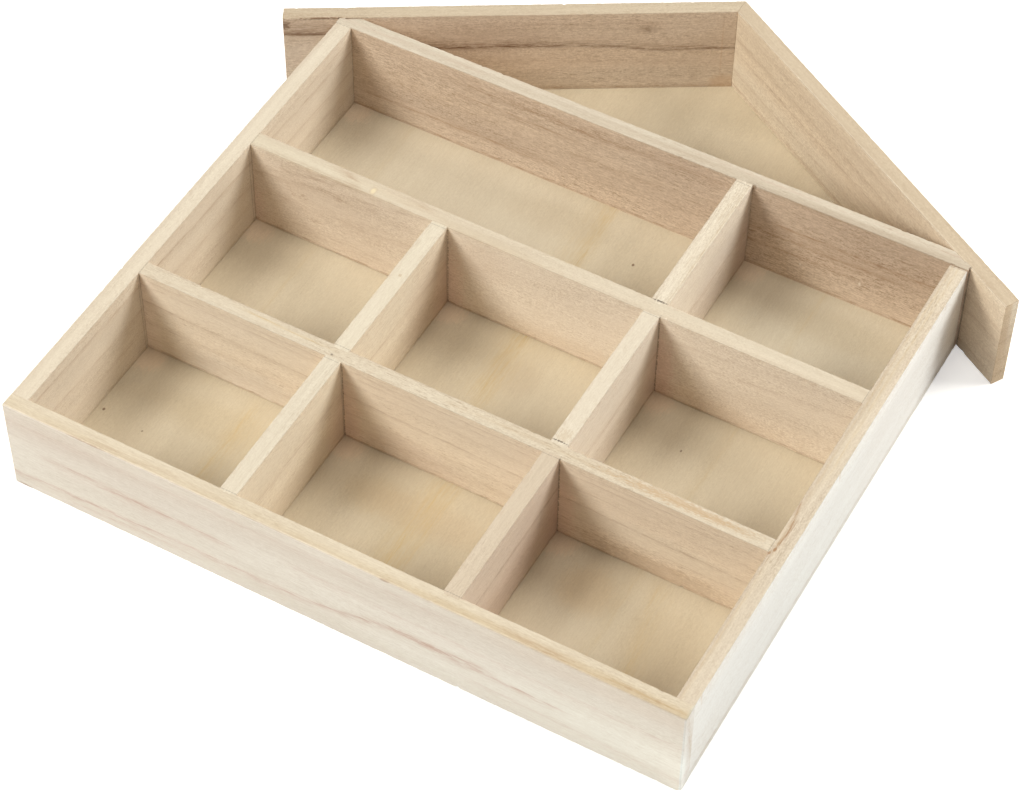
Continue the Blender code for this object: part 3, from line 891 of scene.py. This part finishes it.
for seed, (name, shelf) in enumerate(shelves.items(), 7):
    board = plank(2 * INSIDE_HALF + 2 * PRESSED, SHELF_THICKNESS, back=PANEL_BACK, start=-PRESSED)
    planed(board, seed)
    for vert in board.verts:
        vert.co.y += shelf["fall"] * (0.5 - vert.co.x / (2 * INSIDE_HALF))
    lean(board, 0, 2 * INSIDE_HALF, shelf["front"], shelf["back"])
    joints = [x + DIVIDER_THICKNESS + INSIDE_HALF + 0.15 for x in (LEFT_DIVIDER_X, RIGHT_DIVIDER_X)]
    # Painted shade in the corner just right of each divider.
    corners = [(0.8, (1.0, 0.90, 0.90), (place, 0, 14), (9, 2, 30), 0.8) for place in joints]
    joint_lines = [(0.55, GLUE_LINE, (place, 0, MIDWAY_UP), (0.34, 1.6, 40), 3.4) for place in joints]
    set_in(
        name, board, (-INSIDE_HALF, shelf["y"]), 0, "shelf_wood", shelf["looks"],
        lines=shelf["lines"],
        spots=[*shelf["spots"], *joint_lines, *glue_lines(0.1, 2 * INSIDE_HALF - 0.1)],
        stains=[*shelf["stains"], *corners],
        rim=shelf["rim"],
        top=1.03,
    )

# Dividers
# Five short boards stand between the base board, the shelves and the tie beam, and make the
# columns. They are butted and glued like the shelves. The top row has one only, on the right.
# A divider's name says in which row and on which side it stands.
rows = {
    "bottom": WALL_FOOT_Y,
    "middle": LOWER_SHELF_Y + SHELF_THICKNESS,
    "top": UPPER_SHELF_Y + SHELF_THICKNESS,
}
sides = {"left": LEFT_DIVIDER_X, "right": RIGHT_DIVIDER_X}
dividers = {
    "bottom_row_left_divider": {
        "looks": tones((0.85, 0.756, 0.608), seed=10.1),
        "rim": (0.817, 0.82, 0.817),
        "lines": [growth(0.4, 27.0, 2.2, 0.4)],
    },
    "bottom_row_right_divider": {
        "looks": tones((0.718, 0.61, 0.514), seed=11.3),
        "rim": (0.851, 0.839, 0.765),
        "lines": [growth(0.7, 27.7, 0.8, 0.3, tint=(0.30, 0.18, 0.12))],
        "stains": [
            (0.35, (0.68, 0.58, 0.55), (35, 0, 14), (70, 4, 15), 0.6),
            # Painted shade on the side, just below the board above.
            (0.60, (0.90, 0.87, 0.87), (52, 0, 25), (26, 4, 20)),
        ],
    },
    "middle_row_left_divider": {
        "looks": tones((0.817, 0.726, 0.587), seed=12.7),
        "rim": (0.875, 0.879, 0.866),
        "lines": [growth(0.4, 25.4, 1.4, 0.4)],
        "spots": [(0.45, RIM_BROWN, (40, 3.0, RIM), (0.9, 0.9, 1), 1.2)],
        # Painted shade on the side, just below the board above.
        "stains": [(0.8, (0.87, 0.82, 0.81), (62, 0, 17), (32, 4, 32), 0.6)],
    },
    "middle_row_right_divider": {
        "looks": tones((0.813, 0.737, 0.643), seed=13.9),
        "rim": (0.88, 0.863, 0.80),
        "lines": [growth(0.4, 24.0, 2.0, 0.4)],
        "spots": [
            (0.30, RIM_BROWN, (3, 3.4, RIM), (3.6, 3, 1), 3.0),
            (0.80, GLUE_LINE, (0.2, 4.0, RIM), (0.4, 3.2, 1), 2.6),
        ],
        # Painted shade on the side, just below the board above.
        "stains": [(0.7, (0.92, 0.90, 0.89), (52, 0, 18), (40, 4, 18), 0.6)],
    },
    "top_row_right_divider": {
        "looks": tones((0.824, 0.745, 0.64), seed=14.2, rim=0.8),
        "rim": (0.851, 0.828, 0.771),
        "lines": [
            growth(0.4, 20.4, 1.6, 0.4),
            rim_line(0.6, RIM_BROWN, 0.6, -20, 90, 5, width=0.35),
            rim_line(0.5, RIM_BROWN, 3.0, 20, 60, 6, width=0.4),
        ],
        "spots": [(0.85, GLUE_LINE, (0.2, 3.4, RIM), (0.5, 3.4, 1), 2.8)],
        # Painted shade on the side, just below the board above.
        "stains": [(0.9, (0.86, 0.84, 0.85), (52, 0, 17), (42, 4, 22), 0.6)],
    },
}
for seed, (name, divider) in enumerate(dividers.items(), 9):
    board = plank(ROW_HEIGHT + 2 * LET_IN, DIVIDER_THICKNESS, back=PANEL_BACK, start=-LET_IN)
    planed(board, seed)
    # Painted shade, darker and browner towards the foot of each divider.
    painted_foot_shade = (0.35, (0.62, 0.54, 0.47), (35, 0, 6), (70, 8, 15), 0.7)
    # Painted shade in the far corner, under the board above.
    painted_corner_shade = (0.6, (0.97, 0.87, 0.86), (ROW_HEIGHT, 0, 10), (14, 8, 24), 0.8)
    row, _, side, _ = name.split("_")
    set_in(
        name, board, (sides[side] + DIVIDER_THICKNESS, rows[row]), math.pi / 2, "divider_wood",
        {"Streaks": 0.33, "Wool": 0.7, "Run": 0.3, "Bands": 0.2, "Rim": -0.2, **divider["looks"]},
        lines=[*divider["lines"], foot_line(0.6, seed)],
        spots=[*divider.get("spots", ()), *glue_lines(0.1, ROW_HEIGHT - 0.1)],
        stains=[painted_foot_shade, painted_corner_shade, *divider.get("stains", ())],
        rim=divider["rim"],
    )

# Back panel
# One pentagon of thin plywood with a rotary-cut face, let in flush with the back edges of the
# outer boards and glued to the back of the shelves and dividers.
PANEL_THICKNESS = 2.5
PANEL_STEP = 6.0
YELLOW_BROWN = (0.64, 0.48, 0.24)

panel = bmesh.new()
panel_width = 2 * INSIDE_HALF - 2 * JOINT
panel_height = RIDGE_INNER_Y - WALL_FOOT_Y - JOINT
bmesh.ops.create_cube(panel, size=1.0)
bmesh.ops.scale(panel, vec=(panel_width, panel_height, PANEL_THICKNESS), verts=panel.verts)
middle = (0, WALL_FOOT_Y + JOINT + panel_height / 2, PANEL_THICKNESS / 2)
bmesh.ops.translate(panel, vec=middle, verts=panel.verts)
for sign in (-1, 1):
    way = (sign * math.sin(ROOF_SLOPE), math.cos(ROOF_SLOPE), 0)
    saw(panel, (0, RIDGE_INNER_Y - JOINT, 0), way)
bmesh.ops.recalc_face_normals(panel, faces=panel.faces)
for low, high, way in (
    (-INSIDE_HALF, INSIDE_HALF, Vector((1, 0, 0))),
    (WALL_FOOT_Y, RIDGE_INNER_Y, Vector((0, 1, 0))),
):
    for count in range(1, int((high - low) / PANEL_STEP)):
        saw(panel, way * (low + count * PANEL_STEP), way, waste=False)
panel.verts.layers.float.new("arris")


def plywood_streak(strength, x, width, seed, foot=-20, head=320, slope=0.0):
    """A yellow-brown streak up the face veneer, x millimetres right of the middle."""
    shape = {"rise": slope, "lean": 1.0, "first": foot, "last": head, "ragged": 1.5, "seed": seed}
    return growth(strength, PANEL_THICKNESS + INSIDE_HALF + x, width, 1.0, YELLOW_BROWN, **shape)


def panel_place(x, y):
    """A place on the panel's face in its finish's own millimetres."""
    return (y - WALL_FOOT_Y, -(x + INSIDE_HALF), PANEL_THICKNESS)


painted_light_corners = [(x + 3, y - 3) for x in (-128, -41.5, 47.3) for y in (-83, -7.7)]
painted_light_corners += [(-125, 64.6), (50.3, 64.6)]
# The veneer's pale and brown patches, with painted light and painted shade on the floors of the
# openings among them: strength, tint, place, reach up and across, and maybe a fray.
veneer_tints_and_painted_light = [
    (0.35, (1.2, 1.25, 1.34), (-60, 35), (60, 100), 0.4),
    (0.35, (0.86, 0.83, 0.76), (12, -130), (60, 45), 0.6),
    (0.25, (1.05, 1.0, 0.88), (12, 20), (50, 40), 0.6),
    (0.40, (1.08, 1.16, 1.26), (90, 35), (45, 45), 0.6),
    (1.00, (0.975, 0.965, 0.94), (0, 112), (55, 130), 0.4),
    # Painted light, lifting the shade near the foot of the right roof board.
    (0.90, (1.14, 1.15, 1.17), (32, 121), (15, 45), 0.6),
    (0.50, (0.88, 0.88, 0.92), (50, 90), (10, 16)),
    # Painted shade in the right part of the lower right opening.
    (0.85, (0.93, 0.90, 0.86), (104, -113), (24, 22), 0.6),
    (0.60, (0.93, 0.90, 0.84), (-84, -101), (11, 34)),
    (0.60, (0.97, 0.91, 0.86), (2, -101), (11, 34)),
    # Painted shade: the warmer colour of the shade beside the divider on the left.
    (0.80, (1.01, 0.95, 0.87), (69, -101), (14, 14)),
    (0.60, (1.02, 0.99, 0.92), (-18, -101), (12, 14)),
    (0.70, (1.07, 1.08, 1.10), (-20, -119), (12, 14)),
    (0.70, (0.96, 0.94, 0.91), (-26, 51), (11, 30)),
    # Painted shade: the warmer colour of the shade in the middle opening.
    (0.70, (0.96, 0.93, 0.91), (-1, -28), (12, 14)),
    (0.60, (0.94, 0.94, 0.93), (-80, -122), (18, 28)),
    (0.60, (0.95, 0.94, 0.92), (106, -124), (24, 22)),
    (0.70, (1.06, 1.07, 1.08), (6, 114), (20, 26)),
    (0.60, (0.92, 0.89, 0.84), (94, 52), (11, 34)),
    # Painted light, lifting the shade in the far left corner of each opening.
    *[(0.9, (1.15, 1.07, 1.05), place, (9, 9), 0.8) for place in painted_light_corners],
    # Painted light, lifting the shade on the left part of each opening in the lower two rows.
    *[(0.5, (1.12, 1.13, 1.15), (x, y), (24, 12)) for y in (-117, -42) for x in (-104, -16, 71)],
]
panel_finish = timber(
    "plywood face", (-INSIDE_HALF, WALL_FOOT_Y), math.pi / 2,
    tones((0.674, 0.585, 0.437), 0.9, seed=15.5, rise=0.0, run=0.02, rings=0.0, bands=0.3,
          streaks=0.22, dashes=0.1, wool=0.5, rim=0.0),
    lines=[
        plywood_streak(0.80, -8.5, 3.4, 1, 100, 232),
        plywood_streak(0.65, -3.0, -2.4, 2, 70, 160, -0.03),
        plywood_streak(0.65, 2.0, 3.4, 3, -20, 75),
        plywood_streak(0.60, 7.0, 3.0, 4, -20, 80),
        plywood_streak(0.60, -78.0, -4.0, 5, -20, 72),
        plywood_streak(0.25, -100.0, 1.6, 6, 60, 240),
        plywood_streak(0.50, 101.0, -3.0, 7, -20, 72, -0.17),
        plywood_streak(0.30, 82.0, 1.5, 8, -20, 300),
    ],
    stains=[
        (strength, tint, panel_place(*place), (*size, 5), *fray)
        for strength, tint, place, size, *fray in veneer_tints_and_painted_light
    ],
    spots=[
        (0.85, DARK_BROWN, panel_place(-125.3, -115.6), (0.9, 0.7, 2), 0.6),
        (0.60, DARK_BROWN, panel_place(-107.2, -117.5), (0.6, 0.5, 2), 0.6),
        (0.85, DARK_BROWN, panel_place(11.0, 44.4), (0.9, 0.7, 2), 0.6),
        (0.70, DARK_BROWN, panel_place(69.1, -28.5), (0.7, 0.5, 2), 0.6),
    ],
)
fit("back_panel", panel, (0, 0), 0, panel_finish)

# Floor and light
# A white table under a large soft light, as in a product picture. The table is lifted to white
# where the camera sees it, and keeps a faint shadow.
bpy.ops.mesh.primitive_plane_add(size=8.0)
floor = bpy.context.object
floor.name = "table"
floor_finish = bpy.data.materials.new("white table")
floor_finish.use_nodes = True
tree = floor_finish.node_tree
tree.nodes.clear()
matt = node(tree, "BsdfDiffuse", {"Color": (0.82, 0.82, 0.82, 1)}).outputs[0]
glow = node(tree, "Emission", {"Color": (1, 1, 1, 1), "Strength": 0.45}).outputs[0]
lifted = node(tree, "AddShader", {0: matt, 1: glow}).outputs[0]
seen = node(tree, "LightPath").outputs
mirrored = reckon("MAXIMUM", seen["Is Glossy Ray"], seen["Is Transmission Ray"])
seen = reckon("MAXIMUM", seen["Is Camera Ray"], mirrored)
surface = node(tree, "MixShader", {0: seen, 1: matt, 2: lifted}).outputs[0]
node(tree, "OutputMaterial", {"Surface": surface})
floor.data.materials.append(floor_finish)

world = bpy.data.worlds.new("studio")
bpy.context.scene.world = world
world.use_nodes = True
tree = world.node_tree
tree.nodes.clear()
soft = node(tree, "Background", {"Color": (1.0, 0.95, 1.0, 1), "Strength": 0.15}).outputs[0]
white = node(tree, "Background", {"Color": (1, 1, 1, 1), "Strength": 1.0}).outputs[0]
seen = node(tree, "LightPath").outputs["Is Camera Ray"]
node(tree, "OutputWorld", {"Surface": node(tree, "MixShader", {0: seen, 1: soft, 2: white}).outputs[0]})


LAMP_DISTANCE = 1.6
LAMP_COLOUR = (1.0, 0.985, 0.92)


def softbox(name, azimuth, elevation, size, power):
    """A round soft lamp that shines at the middle of the box from one side."""
    lamp = bpy.data.lights.new(name, "AREA")
    lamp.shape = "DISK"
    lamp.size = size
    lamp.energy = power
    lamp.color = LAMP_COLOUR
    turn, tilt = math.radians(azimuth), math.radians(elevation)
    place = Vector((math.cos(tilt) * math.cos(turn), math.cos(tilt) * math.sin(turn), math.sin(tilt)))
    holder = bpy.data.objects.new(name, lamp)
    holder.location = place * LAMP_DISTANCE
    holder.rotation_euler = (-place).to_track_quat("-Z", "Y").to_euler()
    bpy.context.scene.collection.objects.link(holder)


softbox("right softbox", 38, 37, 0.8, 20.1)
softbox("left softbox", 232, 41, 0.65, 17.4)
softbox("top softbox", 0, 90, 0.6, 5.0)
bpy.context.scene.view_settings.view_transform = "Standard"
